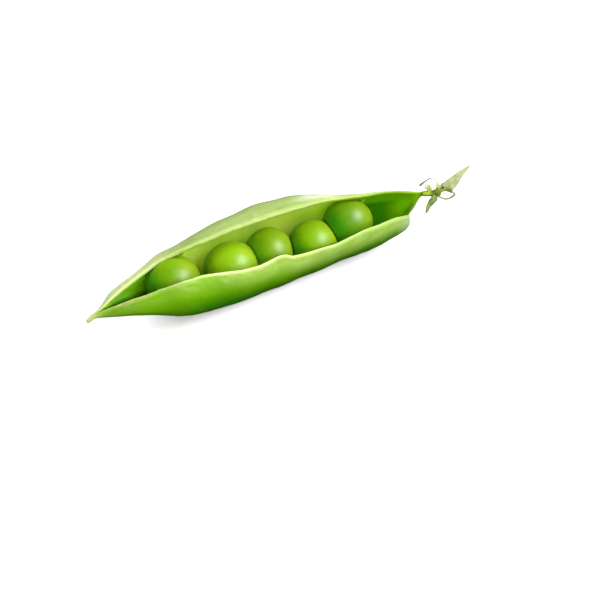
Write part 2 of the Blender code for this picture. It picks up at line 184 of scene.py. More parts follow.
def near_reach(x):
    """How far the near valve runs up from the keel: all the way, until its torn end."""
    if x <= TEAR_START:
        return 1.0
    if x >= TEAR_END:
        return TORN_FRACTION
    part = (x - TEAR_START) / (TEAR_END - TEAR_START)
    ragged = TEAR_RAGGED * ripple(x * 3.1, 4.0) * ease(0.0, 0.3, part) * ease(1.0, 0.7, part)
    return TORN_FRACTION + (1 - TORN_FRACTION) * (1 - part ** 2.6) ** 0.5 + ragged


def outer_relief(x, q):
    """How far the skin stands out of its plain section: seed swellings, keel cord, welt and waves."""
    body = ease(1.0, 9.0, x) * ease(67.5, 60.0, x)
    belly = ease(0.05, 0.3, abs(q)) * ease(0.95, 0.6, abs(q))
    swell = sum(math.exp(-((x - place) / SEED_SPREAD) ** 2) for place in SEED_PLACES)
    swell *= SEED_SWELL * belly * body
    cord = KEEL_CORD * math.exp(-(q / CORD_SPREAD) ** 2) * ease(0.0, 5.0, x) * ease(68.5, 64.0, x)
    welt = RIM_WELT * math.exp(-((1 - abs(q)) / WELT_SPREAD) ** 2) * ease(0.5, 5.0, x) * ease(68.0, 64.0, x)
    groove = -GROOVE * math.exp(-((abs(q) - GROOVE_AT) / GROOVE_SPREAD) ** 2) * body
    waves = SKIN_WAVE * ripple(x * 0.16, q * 2.1) + SKIN_RIPPLE * ripple(x * 0.5, q * 4.0, 7.0)
    return swell + cord + welt + groove + waves * body * ease(0.02, 0.2, abs(q)) - SKIN_DROP * body


def rim_wave(x, q):
    """Small ups and downs of a rim, fading a little way down the valve."""
    share = ease(0.72, 1.0, abs(q)) * ease(3.0, 9.0, x) * ease(66.0, 60.0, x)
    side = 3.0 if q > 0 else 9.0
    wave = RIM_WAVE * ripple(x * 0.33, side) + RIM_RIPPLE * ripple(x * 1.1, side, 2.0)
    curl = sum(height * math.exp(-((x - place) / spread) ** 2) for place, spread, height in RIM_CURLS)
    return share * (wave + (curl if q < 0 else 0.0))


def steps_round(low):
    """Turns round the wall from its low end to the far rim, closest together at the rims and the keel."""
    steps = []
    for i in range(ROUND_STEPS):
        s = 2 * i / (ROUND_STEPS - 1) - 1
        crowded = s - CROWDING / (2 * math.pi) * math.sin(2 * math.pi * s)
        steps.append(low + (1 - low) * (crowded + 1) / 2)
    return steps


def outer_face(section, steps):
    """Points (u, v) of the skin round one section."""
    points = []
    for q in steps:
        u, v = section.point(q, 0)
        a, b = section.point(q - NUDGE, 0), section.point(q + NUDGE, 0)
        way = Vector((b[1] - a[1], a[0] - b[0]))
        way = way.normalized() if way.length > 1e-9 else Vector((0, -1))
        out = outer_relief(section.x, q)
        points.append((u + way.x * out, v + way.y * out + rim_wave(section.x, q)))
    return points


def inner_face(section, steps):
    """Points (u, v) of the lining, drawn out to a straight line where the pod is solid."""
    wall = min(WALL, WALL_SHARE * section.half[-1])
    hollow = smooth_value(HOLLOW, section.x)
    points = []
    for q in steps:
        u, v = section.point(q, wall)
        points.append((u, v + rim_wave(section.x, q) * hollow))
    (first_u, first_v), (last_u, last_v) = points[0], points[-1]
    drawn = []
    for i, (u, v) in enumerate(points):
        part = i / (ROUND_STEPS - 1)
        line_u = first_u + (last_u - first_u) * part
        line_v = first_v + (last_v - first_v) * part
        drawn.append((line_u + (u - line_u) * hollow, line_v + (v - line_v) * hollow))
    return drawn


def wall_ring(x):
    """Points round the wall at x: each with its place, q, how far inside, mm from rim and from keel."""
    section = Section(x)
    low = -near_reach(x)
    steps = steps_round(low)
    outer, inner = outer_face(section, steps), inner_face(section, steps)
    run = [0.0]
    for a, b in zip(outer, outer[1:]):
        run.append(run[-1] + math.dist(a, b))
    keel = next(way for way, q in zip(run, steps) if q >= 0)
    knows = [(q, min(way, run[-1] - way), way - keel) for q, way in zip(steps, run)]
    points = [(p, q, 0.0, edge, arc) for p, (q, edge, arc) in zip(outer, knows)]
    over = lip_points(outer[-1], inner[-1], outer[-2])
    points += [(p, 1.0, (i + 1) / (LIP_STEPS + 1), 0.0, knows[-1][2]) for i, p in enumerate(over)]
    points += [(p, q, 1.0, edge, arc) for p, (q, edge, arc) in zip(inner[::-1], knows[::-1])]
    over = lip_points(inner[0], outer[0], inner[1])
    points += [(p, low, 1 - (i + 1) / (LIP_STEPS + 1), 0.0, knows[0][2]) for i, p in enumerate(over)]
    return [(section.solid(*p), *known) for p, *known in points]


def lip_points(start, end, before):
    """Points over a rounded rim from one face of the wall to the other."""
    start, end = Vector(start), Vector(end)
    ahead = (start - Vector(before)).normalized()
    reach = min(LIP, LIP_SHARE * (end - start).length)
    points = []
    for i in range(1, LIP_STEPS + 1):
        angle = math.pi * i / (LIP_STEPS + 1)
        middle = start + (end - start) * (1 - math.cos(angle)) / 2
        points.append(tuple(middle + ahead * reach * math.sin(angle)))
    return points


def shell_stations():
    """Places of the rings along the pod, closest together at the tip and at the torn end."""
    places = []
    x = NUB_END
    while x < NECK_END:
        places.append(x)
        step = STATION_STEP
        if x < TIP_STRETCH or x > NECK_STRETCH:
            step = END_STEP
        if TEAR_STRETCH[0] < x < TEAR_STRETCH[1]:
            step = TEAR_STEP
        x += step
    return places + [NECK_END]


def set_down():
    """Shift, in mm, from the pod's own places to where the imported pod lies."""
    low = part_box("pod_shell")[0]
    plain = []
    for i in range(SURVEY_STATIONS):
        section = Section(NUB_END + i * SURVEY_STEP)
        turns = range(1, SURVEY_TURNS + 1)
        plain += [section.solid(*section.point(-turn / SURVEY_TURNS, 0)).y for turn in turns]
    return Vector((low[0] / MM - NUB_END, low[1] / MM - min(plain), 0))


SHIFT = set_down()


def lie(point):
    """A point of the lying pod, from its own mm to metres in the shared frame, never below the surface."""
    moved = (point + SHIFT) * MM
    moved.z = max(moved.z, 0.0)
    return moved


def mesh_of_rings(name, rings):
    """A mesh from rings of points in metres, each joined to the next, with filled ends."""
    count = len(rings[0])
    verts = [point for ring in rings for point in ring]
    faces = []
    for r in range(len(rings) - 1):
        for i in range(count):
            j = (i + 1) % count
            faces.append((r * count + j, r * count + i, (r + 1) * count + i, (r + 1) * count + j))
    faces.append(tuple(range(count)))
    faces.append(tuple((len(rings) - 1) * count + i for i in reversed(range(count))))
    data = bpy.data.meshes.new(name)
    data.from_pydata(verts, [], faces)
    for polygon in data.polygons:
        polygon.use_smooth = True
    piece = bpy.data.objects.new(name, data)
    bpy.context.collection.objects.link(piece)
    return piece


def note(piece, name, values):
    """Stores one number for each vertex, for the material to read."""
    held = piece.data.attributes.new(name, "FLOAT", "POINT")
    held.data.foreach_set("value", values)


def fresh(red, green, blue):
    """A colour given in everyday 0 to 255 steps, as the shader wants it."""
    made = []
    for part in (red, green, blue):
        c = part / 255
        made.append(c / 12.92 if c <= 0.04045 else ((c + 0.055) / 1.055) ** 2.4)
    return (*made, 1.0)


class Recipe:
    """One procedural material, with short calls for the nodes that it is made of."""

    def __init__(self, name, roughness, **constants):
        self.material = bpy.data.materials.new(name)
        self.material.use_nodes = True
        self.tree = self.material.node_tree
        self.shader = self.tree.nodes["Principled BSDF"]
        self.shader.inputs["Roughness"].default_value = roughness
        for key, value in constants.items():
            self.shader.inputs[key.replace("_", " ")].default_value = value

    def node(self, kind, settings=None, **inputs):
        """A node with its settings, and its inputs set to a value or linked to another node."""
        made = self.tree.nodes.new(kind)
        for key, value in (settings or {}).items():
            setattr(made, key, value)
        for key, value in inputs.items():
            socket = made.inputs[int(key[1:])] if key[0] == "_" else made.inputs[key.replace("_", " ")]
            if isinstance(value, bpy.types.NodeSocket):
                self.tree.links.new(value, socket)
            else:
                socket.default_value = value
        return made

    def known(self, name):
        """What the mesh has stored for each vertex under this name."""
        return self.node("ShaderNodeAttribute", {"attribute_name": name}).outputs["Fac"]

    def reckoned(self, how, a, b=0.0, clamp=False):
        """Arithmetic on one or two values."""
        return self.node("ShaderNodeMath", {"operation": how, "use_clamp": clamp}, _0=a, _1=b).outputs[0]

    def times(self, a, b):
        """One value times another."""
        return self.reckoned("MULTIPLY", a, b)

    def less(self, a, b, clamp=False):
        """One value less another."""
        return self.reckoned("SUBTRACT", a, b, clamp)

    def larger(self, a, b):
        """The larger of two values."""
        return self.reckoned("MAXIMUM", a, b)

    def size_of(self, a):
        """A value without its sign."""
        return self.reckoned("ABSOLUTE", a)

    def part_of(self, a):
        """What a value has past its last whole number."""
        return self.reckoned("FRACT", a)

    def range_of(self, value, low, high, to_low=0.0, to_high=1.0):
        """A value's range turned softly into another range."""
        settings = {"interpolation_type": "SMOOTHSTEP"}
        made = self.node("ShaderNodeMapRange", settings, _0=value, _1=low, _2=high, _3=to_low, _4=to_high)
        return made.outputs[0]

    def place(self, scale=(1, 1, 1)):
        """Object coordinates in mm, stretched."""
        source = self.node("ShaderNodeTexCoord").outputs["Object"]
        return self.stretch(source, tuple(s / MM for s in scale))

    def stretch(self, source, scale, turn=(0, 0, 0)):
        """A place stretched and turned, so that a pattern runs along or across the piece."""
        return self.node("ShaderNodeMapping", None, Vector=source, Rotation=turn, Scale=scale).outputs[0]

    def noise(self, scale, detail=3.0, rough=0.5, where=None):
        """Cloudy noise, with a scale per mm."""
        where = where or self.place()
        made = self.node("ShaderNodeTexNoise", None, Vector=where, Scale=scale, Detail=detail,
                         Roughness=rough)
        return made.outputs[0]

    def cells(self, scale, where=None, feature="DISTANCE_TO_EDGE"):
        """Cell pattern, with a scale per mm."""
        where = where or self.place()
        made = self.node("ShaderNodeTexVoronoi", {"feature": feature}, Vector=where, Scale=scale)
        return made.outputs[0]

    def blend(self, amount, first, second):
        """A colour between two colours."""
        made = self.node("ShaderNodeMix", {"data_type": "RGBA"}, _0=amount, _6=first, _7=second)
        return made.outputs[2]

    def bump(self, height, depth_mm, strength=1.0, below=None):
        """A relief of this depth, on top of another relief."""
        inputs = {"Height": height, "Distance": depth_mm * MM, "Strength": strength}
        if below is not None:
            inputs["Normal"] = below
        return self.node("ShaderNodeBump", None, **inputs).outputs[0]

    def wire(self, colour, roughness, relief):
        """Joins the finished colour, roughness and relief to the shader."""
        for key, value in (("Base Color", colour), ("Roughness", roughness), ("Normal", relief)):
            self.tree.links.new(value, self.shader.inputs[key])
        return self.material


def skin_ground(made, along, round_it):
    """The plain green of the skin, brighter towards the tip and along the keel, darker low down as painted
    shade.
    """
    near_tip = made.range_of(along, 26.0, 10.0)
    colour = made.blend(near_tip, fresh(94, 150, 0), fresh(122, 184, 0))
    clouds = made.range_of(made.noise(0.16, 3.0, 0.55), 0.35, 0.65, 0.0, 0.35)
    colour = made.blend(clouds, colour, fresh(120, 168, 10))
    # Painted shade: darker from low on the near valve round past the keel, where less light falls.
    low = made.range_of(round_it, -0.72, -0.46)
    low = made.times(low, made.range_of(along, 8.0, 24.0, 0.25, 1.0))
    colour = made.blend(low, colour, fresh(44, 116, 0))
    full = made.range_of(along, 15.0, 26.0, 0.24, 0.03)
    gone = made.range_of(along, 15.0, 26.0, 0.33, 0.09)
    keel = made.range_of(made.size_of(round_it), full, gone, 0.85, 0.0)
    return made.blend(keel, colour, fresh(150, 200, 66))


def skin_pallor(made, colour, along, round_it, edge, mottles):
    """The paler parts: a band below each rim; the far valve, pale partly from its own waxy coat and partly
    from painted sheen; its creamy tip; and a painted highlight high on the far valve.
    """
    patchy = made.range_of(mottles, 0.3, 0.7, 0.5, 0.95)
    patchy = made.times(patchy, made.range_of(along, 20.0, 32.0, 0.3, 1.0))
    reach = made.range_of(along, 26.0, 50.0, 4.4, 6.2)
    band = made.times(made.range_of(edge, 1.2, reach, 0.85, 0.0), patchy)
    colour = made.blend(band, colour, fresh(162, 188, 96))
    # The far valve's pale grey tint is partly its waxy coat and partly painted sheen of the bright light it
    # faces.
    far = made.range_of(round_it, 0.42, 0.72, 0.0, 0.85)
    colour = made.blend(far, colour, made.blend(mottles, fresh(122, 144, 76), fresh(150, 162, 110)))
    cream = made.times(made.range_of(along, 20.0, 10.0, 0.0, 0.7), far)
    colour = made.blend(cream, colour, fresh(198, 206, 158))
    # Painted highlight: a whitish patch high on the far valve, where light glances off it.
    painted_highlight = made.less(made.range_of(along, 42.0, 46.0), made.range_of(along, 49.0, 54.0), True)
    painted_highlight = made.times(painted_highlight, made.range_of(round_it, 0.95, 0.86))
    painted_highlight = made.times(made.times(painted_highlight, far), made.range_of(mottles, 0.3, 0.6))
    return made.blend(made.times(painted_highlight, 0.65), colour, fresh(210, 216, 198))


def skin_edges(made, colour, along, round_it, edge, mottles):
    """What shows near the rims: the torn end, rosy blots, a painted shade line a little below each rim, the
    pale rim and the paler near lip.
    """
    torn = made.times(made.range_of(along, 59.5, 62.5), made.range_of(round_it, -0.3, -0.6))
    colour = made.blend(made.times(torn, 0.5), colour, fresh(176, 204, 160))
    rosy = made.times(made.range_of(mottles, 0.52, 0.66), made.range_of(edge, 3.2, 0.6))
    colour = made.blend(made.times(rosy, 0.35), colour, fresh(190, 186, 122))
    # Painted shade: a darker line a little below each rim, where the lip shades the skin.
    crease = made.range_of(made.size_of(made.less(edge, 1.15)), 0.05, 0.4, 0.2, 0.0)
    colour = made.blend(crease, colour, fresh(112, 140, 44))
    rim = made.range_of(edge, 0.15, made.range_of(along, 19.0, 27.0, 0.5, 1.0), 0.85, 0.0)
    rim = made.times(rim, made.range_of(along, 2.0, 10.0, 0.3, 1.0))
    colour = made.blend(rim, colour, fresh(164, 182, 108))
    lip = made.times(made.range_of(edge, 0.25, 0.65, 0.85, 0.0), made.range_of(round_it, -0.3, -0.6))
    lip = made.times(lip, made.range_of(along, 14.0, 24.0))
    lip = made.times(lip, made.range_of(along, 62.0, 34.0, 0.2, 1.0))
    return made.blend(lip, colour, fresh(206, 224, 144))


def skin_material():
    """Waxy outer skin: mottled green with a fine vein net, pale along its rims and darker below as painted
    shade, with a painted shade line under the rims and a painted sheen and highlight on the far valve.
    """
    made = Recipe("pod_skin", 0.42, Subsurface_Weight=0.3, Subsurface_Scale=1.0 * MM,
                  Subsurface_Radius=(0.7, 1.0, 0.05), IOR=1.4, Specular_IOR_Level=0.2)
    along, round_it, edge = made.known("along"), made.known("round_it"), made.known("edge")
    flow = made.node("ShaderNodeCombineXYZ", None, X=along, Y=made.known("arc"), Z=0.0).outputs[0]
    mottles = made.noise(0.42, 4.0, 0.6, made.stretch(flow, (0.45, 1.1, 1)))
    wander = made.noise(0.5, 2.0, 0.5, flow)
    bent = made.node("ShaderNodeVectorMath", {"operation": "ADD"}, _0=flow, _1=wander).outputs[0]
    veins = made.cells(0.95, made.stretch(bent, (0.4, 1.0, 1), (0, 0, 0.85)))
    net = made.range_of(veins, 0.0, 0.12, 1.0, 0.0)
    colour = skin_ground(made, along, round_it)
    colour = skin_pallor(made, colour, along, round_it, edge, mottles)
    colour = skin_edges(made, colour, along, round_it, edge, mottles)
    colour = made.blend(made.times(net, 0.05), colour, fresh(178, 206, 104))
    neck = made.range_of(along, 62.5, 68.0, 0.0, 0.7)
    colour = made.blend(neck, colour, fresh(118, 150, 26))
    nub = made.range_of(along, 2.6, 0.4)
    colour = made.blend(nub, colour, fresh(150, 170, 92))
    rough = made.range_of(made.noise(1.4, 3.0), 0.2, 0.8, 0.36, 0.52)
    relief = made.bump(net, 0.012, 0.3)
    relief = made.bump(mottles, 0.06, 0.25, relief)
    relief = made.bump(made.cells(2.6, None, "F1"), 0.01, 0.4, relief)
    return made.wire(colour, rough, relief)


def lining_material():
    """Smooth moist lining: bright yellow-green, its glow partly painted light, darker green towards the neck
    and along the keel as painted shade, and greener towards the tip.
    """
    made = Recipe("pod_lining", 0.45, Subsurface_Weight=0.8, Subsurface_Scale=4.0 * MM,
                  Subsurface_Radius=(0.75, 1.0, 0.1), IOR=1.38, Specular_IOR_Level=0.06)
    along, round_it, edge = made.known("along"), made.known("round_it"), made.known("edge")
    flow = made.node("ShaderNodeCombineXYZ", None, X=along, Y=made.known("arc"), Z=0.0).outputs[0]
    fibres = made.noise(0.8, 4.0, 0.6, made.stretch(flow, (1.6, 0.4, 1), (0, 0, 0.5)))
    clouds = made.noise(0.22, 2.0, 0.5)
    # The base colours sit near full brightness: partly painted light, standing in for light shining through
    # the thin wall.
    colour = made.blend(made.range_of(fibres, 0.25, 0.75), fresh(206, 244, 84), fresh(220, 250, 104))
    colour = made.blend(made.range_of(clouds, 0.35, 0.7, 0.0, 0.4), colour, fresh(232, 250, 110))
    # Painted shade: darker green towards the neck, where the wall lies in shadow.
    neck_shade = made.range_of(along, 50.0, 58.0)
    colour = made.blend(neck_shade, colour, fresh(84, 140, 4))
    near_tip = made.range_of(along, 18.0, 11.0, 0.0, 0.95)
    colour = made.blend(near_tip, colour, fresh(122, 200, 0))
    # Painted shade: darker on the near side and keel past the peas.
    past_peas = made.range_of(along, 50.0, 57.0, 0.3, 0.9)
    past_peas = made.less(past_peas, made.range_of(along, 60.0, 65.0), True)
    shade_past_peas = made.times(made.range_of(round_it, 0.58, 0.4), past_peas)
    colour = made.blend(shade_past_peas, colour, fresh(18, 84, 0))
    # Painted shade: very dark along the keel towards the tip, where light hardly reaches.
    shade_near_keel = made.times(made.range_of(round_it, 0.33, 0.2, 0.0, 0.95), made.range_of(along, 22.0, 14.0))
    colour = made.blend(shade_near_keel, colour, fresh(10, 66, 0))
    line = made.range_of(edge, 0.15, 0.75, 0.8, 0.0)
    colour = made.blend(line, colour, fresh(96, 98, 20))
    rough = made.range_of(fibres, 0.2, 0.8, 0.38, 0.52)
    relief = made.bump(fibres, 0.04, 0.35)
    return made.wire(colour, rough, relief)


def rim_material():
    """Pale, slightly see-through edge of a valve, with a dark line where the pod has split; along the near
    rim that line is also painted shade of the gap against the peas.
    """
    made = Recipe("pod_rim", 0.45, Subsurface_Weight=0.4, Subsurface_Scale=0.8 * MM,
                  Subsurface_Radius=(0.9, 1.0, 0.3), IOR=1.4, Specular_IOR_Level=0.3)
    along, round_it = made.known("along"), made.known("round_it")
    grain = made.noise(1.1, 4.0, 0.6, made.place((0.6, 1, 1)))
    spots = made.noise(0.5, 2.0)
    colour = made.blend(made.range_of(grain, 0.3, 0.7), fresh(146, 168, 78), fresh(170, 188, 106))
    colour = made.blend(made.range_of(spots, 0.56, 0.7, 0.0, 0.5), colour, fresh(150, 164, 76))
    far_neck = made.times(made.range_of(along, 44.0, 53.0), made.range_of(round_it, 0.0, 0.5))
    colour = made.blend(far_neck, colour, fresh(126, 162, 32))
    torn = made.times(made.range_of(along, 62.5, 64.0), made.range_of(round_it, 0.3, 0.0))
    colour = made.blend(torn, colour, fresh(86, 124, 16))
    near = made.range_of(round_it, 0.0, -0.5)
    inner_edge = made.range_of(made.known("inside"), 0.55, 0.85, 0.0, 0.9)
    inner_edge = made.times(inner_edge, made.range_of(along, 63.0, 59.0))
    # Along the near rim the dark split line is partly the torn fibre's own colour and partly painted shade of
    # the gap against the peas.
    split_line_and_shade = made.times(near, made.range_of(along, 12.0, 18.0, 0.0, 0.92))
    inner_edge = made.larger(inner_edge, split_line_and_shade)
    colour = made.blend(inner_edge, colour, made.blend(near, fresh(120, 116, 34), fresh(24, 70, 0)))
    cream = made.times(made.range_of(along, 19.0, 9.0, 0.0, 0.6), made.range_of(round_it, 0.0, 0.5))
    colour = made.blend(cream, colour, fresh(214, 224, 160))
    nub = made.range_of(along, 2.6, 0.4)
    colour = made.blend(nub, colour, fresh(170, 186, 112))
    rough = made.range_of(grain, 0.2, 0.8, 0.38, 0.55)
    return made.wire(colour, rough, made.bump(grain, 0.06, 0.5))


def make_shell():
    """The fine mesh of the shell, with its skin, lining and rim."""
    rings = [wall_ring(x) for x in shell_stations()]
    places = [[lie(point[0]) for point in ring] for ring in rings]
    piece = mesh_of_rings("pod_shell_skin", places)
    flat = [(x, point) for x, ring in zip(shell_stations(), rings) for point in ring]
    note(piece, "along", [x for x, _ in flat])
    note(piece, "round_it", [point[1] for _, point in flat])
    note(piece, "inside", [point[2] for _, point in flat])
    note(piece, "edge", [point[3] for _, point in flat])
    note(piece, "arc", [point[4] for _, point in flat])
    for made in (skin_material(), lining_material(), rim_material()):
        piece.data.materials.append(made)
    insides = [point[2] for _, point in flat]
    for polygon in piece.data.polygons:
        kinds = {insides[v] for v in polygon.vertices}
        polygon.material_index = 0 if kinds == {0.0} else 1 if kinds == {1.0} else 2
    both_ends = list(piece.data.polygons)[-2:]
    for polygon in both_ends:
        polygon.material_index = 0
        polygon.use_smooth = False
    return piece


shell = make_shell()
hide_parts("pod_shell")
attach(shell, "root")

# ------------------------------------------------------------------------------------------------
# Peas
# The five seeds, each a round ball of green flesh in a thin tight skin. They grew in a row inside
# the pod, and where two touch they have pressed each other a little flat.

# Where each pea lies, along, across and out, then its half length and half breadth
PEAS = {
    "pea_1": (16.5, 0.55, -0.2, 5.35, 5.0),
    "pea_2": (27.85, -0.7, 0.1, 5.35, 5.0),
    "pea_3": (36.05, -0.55, -0.8, 4.75, 4.9),
    "pea_4": (44.4, -1.8, 0.3, 4.8, 4.65),
    "pea_5": (52.2, -0.2, 0.7, 4.95, 4.7),
}
PEA_GAP, WALL_GAP = 0.02, 0.42
PRESS_SOFTNESS = 0.25
DENT, DENT_SCALE = 0.06, 1.4
PEA_ROUNDS, PEA_BANDS, POLE = 96, 64, 0.2
# The way that each pea's painted light faces, towards the key lamp; the other side gets painted shade.
PAINTED_LIGHT_WAY = Vector((0.82, -0.1, 0.56))
# How much lighter and yellower each pea is painted, standing in for the light it catches, and how far its
# greener painted shade reaches round it
PEA_PAINTED_LIGHT = {"pea_1": (-4, 0.3), "pea_2": (16, 0.0), "pea_3": (0, 0.3), "pea_4": (12, 0.25),
            "pea_5": (-8, 0.5)}


def across_and_out(x, across, out):
    """A point in mm from its distance along, across and out of the lying pod."""
    y = across * math.cos(LEAN) - out * math.sin(LEAN)
    z = across * math.sin(LEAN) + out * math.cos(LEAN)
    return Vector((x, y, AXIS_HEIGHT + z))


def within_walls(point):
    """The point, held clear of the cavity's wall."""
    section = Section(point.x)
    offset = point - section.centre
    u, v = offset.dot(section.side), offset.dot(section.mouth)
    sign = 1 if u > 0 else -1
    half = section.half[sign] - WALL - WALL_GAP
    keel = section.keel - WALL - WALL_GAP
    rim = section.rim - WALL - WALL_GAP
    gape = section.gape[sign]
    u = sign * min(abs(u), half)
    if v < 0:
        v = max(v, -keel + keel * (1 - math.cos(math.asin(abs(u) / half))) ** section.sharp)
    elif v < rim and abs(u) > gape:
        u = sign * min(abs(u), gape + (half - gape) * math.sqrt(1 - (v / rim) ** 2))
    elif v >= rim:
        u = sign * min(abs(u), gape - WALL_GAP)
    return section.solid(u, v)


def pressed(point, centre, half_length, other, other_half):
    """The point, held behind the plane where two peas meet, with a soft turn at its edge."""
    way = other - centre
    reach = way.length * half_length / (half_length + other_half) - PEA_GAP
    way.normalize()
    over = (point - centre).dot(way) - reach
    if over <= -PRESS_SOFTNESS:
        return point
    kept = -PRESS_SOFTNESS * math.exp(-(over + PRESS_SOFTNESS) / PRESS_SOFTNESS)
    return point + way * (kept - over)


def make_pea(name):
    """One pea, with its faint dents and the flats where its neighbours press on it."""
    x, across, out, half_length, half_breadth = PEAS[name]
    centre = across_and_out(x, across, out)
    names = list(PEAS)
    index = names.index(name)
    others = [names[i] for i in (index - 1, index + 1) if 0 <= i < len(names)]
    rings, painted_light_sides = [], []
    for i in range(PEA_BANDS + 1):
        polar = math.pi * (i + POLE) / (PEA_BANDS + 2 * POLE)
        ring = []
        for j in range(PEA_ROUNDS):
            angle = 2 * math.pi * j / PEA_ROUNDS
            level = math.sin(polar)
            way = Vector((-math.cos(polar), level * math.cos(angle), level * math.sin(angle)))
            dents = ripple(way.x * DENT_SCALE + index * 5, way.y * DENT_SCALE, way.z * DENT_SCALE)
            dents = DENT * dents - DENT / 2
            reach = Vector((way.x * half_length, way.y * half_breadth, way.z * half_breadth))
            point = centre + reach + way * dents
            for other in others:
                beside = across_and_out(*PEAS[other][:3])
                point = pressed(point, centre, half_length, beside, PEAS[other][3])
            ring.append(lie(within_walls(point)))
            # How far each point faces the key lamp, for the painted light and shade.
            painted_light_sides.append(way.dot(PAINTED_LIGHT_WAY))
        rings.append(ring)
    piece = mesh_of_rings(name + "_seed", rings)
    note(piece, "painted_light_side", painted_light_sides)
    return piece


def pea_material(name, painted_warmth, reach):
    """Tight, soft-glossy skin over green flesh, cloudy and finely pored, with painted light making it
    yellower on the side towards the key lamp and painted shade making the other side deep green.
    """
    made = Recipe(name + "_skin", 0.38, Subsurface_Weight=0.5, Subsurface_Scale=1.8 * MM,
                  Subsurface_Radius=(0.5, 1.0, 0.03), IOR=1.42, Specular_IOR_Level=0.85)
    clouds = made.noise(0.2, 2.0, 0.5)
    fine = made.noise(1.3, 3.0, 0.6)
    pores = made.cells(3.2, None, "F1")
    dark, light = fresh(94 + painted_warmth, 139 + painted_warmth, 0), fresh(110 + painted_warmth, 149 + painted_warmth, 0)
    colour = made.blend(made.range_of(clouds, 0.25, 0.75), dark, light)
    painted_light_side = made.known("painted_light_side")
    # Painted shade: deep green on the side turned from the key lamp.
    colour = made.blend(made.range_of(painted_light_side, reach, reach - 0.75, 0.0, 0.95), colour, fresh(42, 129, 0))
    # Painted light: yellower on the side turned to the key lamp.
    colour = made.blend(made.range_of(painted_light_side, 0.5, 1.0, 0.0, 0.4), colour, fresh(144, 166, 20))
    colour = made.blend(made.range_of(fine, 0.5, 0.8, 0.0, 0.2), colour, fresh(138, 176, 6))
    colour = made.blend(made.range_of(pores, 0.0, 0.14, 0.15, 0.0), colour, fresh(150, 196, 50))
    rough = made.range_of(fine, 0.2, 0.8, 0.37, 0.46)
    relief = made.bump(clouds, 0.2, 0.2)
    relief = made.bump(pores, 0.012, 0.3, relief)
    return made.wire(colour, rough, relief)


for name in PEAS:
    pea = make_pea(name)
    pea.data.materials.append(pea_material(name, *PEA_PAINTED_LIGHT[name]))
    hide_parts(name)
    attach(pea, "root")

# ------------------------------------------------------------------------------------------------
# Seed stalks
# The short moist thread by which each pea hung from the rim of its valve. It widens where it meets
# the pea and stays behind, a little withered, once the pod has opened.

# Which pea, the valve it hangs from (1 is the far one) and how far towards the pea's end
SEED_STALKS = (("pea_1", 1, 0.68), ("pea_2", -1, -0.62), ("pea_3", -1, -0.62), ("pea_4", -1, 0.62),
               ("pea_5", 1, 0.84))
STALK_HALF = 0.3
STALK_WIDTHS = ((0, STALK_HALF), (0.4, STALK_HALF * 0.75), (0.8, STALK_HALF), (1, STALK_HALF * 1.2))
STALK_STEPS, STALK_SIDES, STALK_CREASE = 24, 20, 0.18
ROOT_TURN, ROOT_DEPTH, STALK_BOW, SUNK = 0.93, 0.75, 0.12, 0.12
ROUND_FROM, RIB_HEIGHT = Vector((0.13, 0.31, 0.94)), 0.06


def curve_through(points, count):
    """Evenly counted points of the smooth curve through a few."""
    padded = [points[0] * 2 - points[1]] + list(points) + [points[-1] * 2 - points[-2]]
    path = []
    for i in range(count):
        at = i / (count - 1) * (len(points) - 1)
        k = min(int(at), len(points) - 2)
        t = at - k
        p0, p1, p2, p3 = padded[k:k + 4]
        path.append(0.5 * (p1 * 2 + (p2 - p0) * t + (p0 * 2 - p1 * 5 + p2 * 4 - p3) * t * t
                           + (p1 * 3 - p0 - p2 * 3 + p3) * t ** 3))
    return path


def stalk_mesh(name, points, widths, steps, sides, ribs=0, crease=0.0):
    """A round stalk along a smooth path: widths as (share of the way, half width), with ribs and creases."""
    path = curve_through(points, steps)
    rings = []
    first = None
    for i, point in enumerate(path):
        along = (path[min(i + 1, steps - 1)] - path[max(i - 1, 0)]).normalized()
        if first is None:
            first = along.cross(ROUND_FROM)
        first = (first - along * first.dot(along)).normalized()
        second = along.cross(first)
        share = i / (steps - 1)
        half = smooth_value(widths, share)
        ring = []
        for j in range(sides):
            angle = 2 * math.pi * j / sides
            spoke = first * math.cos(angle) + second * math.sin(angle)
            uneven = 1 + crease * ripple(spoke.x * 2 + share * 7, spoke.y * 2, spoke.z * 2 + share * 3)
            if ribs:
                uneven += RIB_HEIGHT * math.cos(ribs * angle)
            ring.append(lie(point + spoke * half * uneven))
        rings.append(ring)
    piece = mesh_of_rings(name, [ring[::-1] for ring in rings])
    note(piece, "along", [i / (steps - 1) for i in range(steps) for _ in range(sides)])
    return piece


def seed_stalk_material():
    """Moist green tissue, paler where it widens to meet the pea."""
    made = Recipe("seed_stalk", 0.5, Subsurface_Weight=0.4, Subsurface_Scale=0.5 * MM,
                  Subsurface_Radius=(0.8, 1.0, 0.2), Specular_IOR_Level=0.3)
    grain = made.noise(2.4, 3.0)
    colour = made.blend(made.range_of(grain, 0.3, 0.7), fresh(84, 134, 6), fresh(100, 148, 14))
    colour = made.blend(made.range_of(made.known("along"), 0.6, 1.0, 0.0, 0.5), colour, fresh(116, 158, 30))
    return made.wire(colour, made.range_of(grain, 0.2, 0.8, 0.42, 0.6), made.bump(grain, 0.04, 0.5))


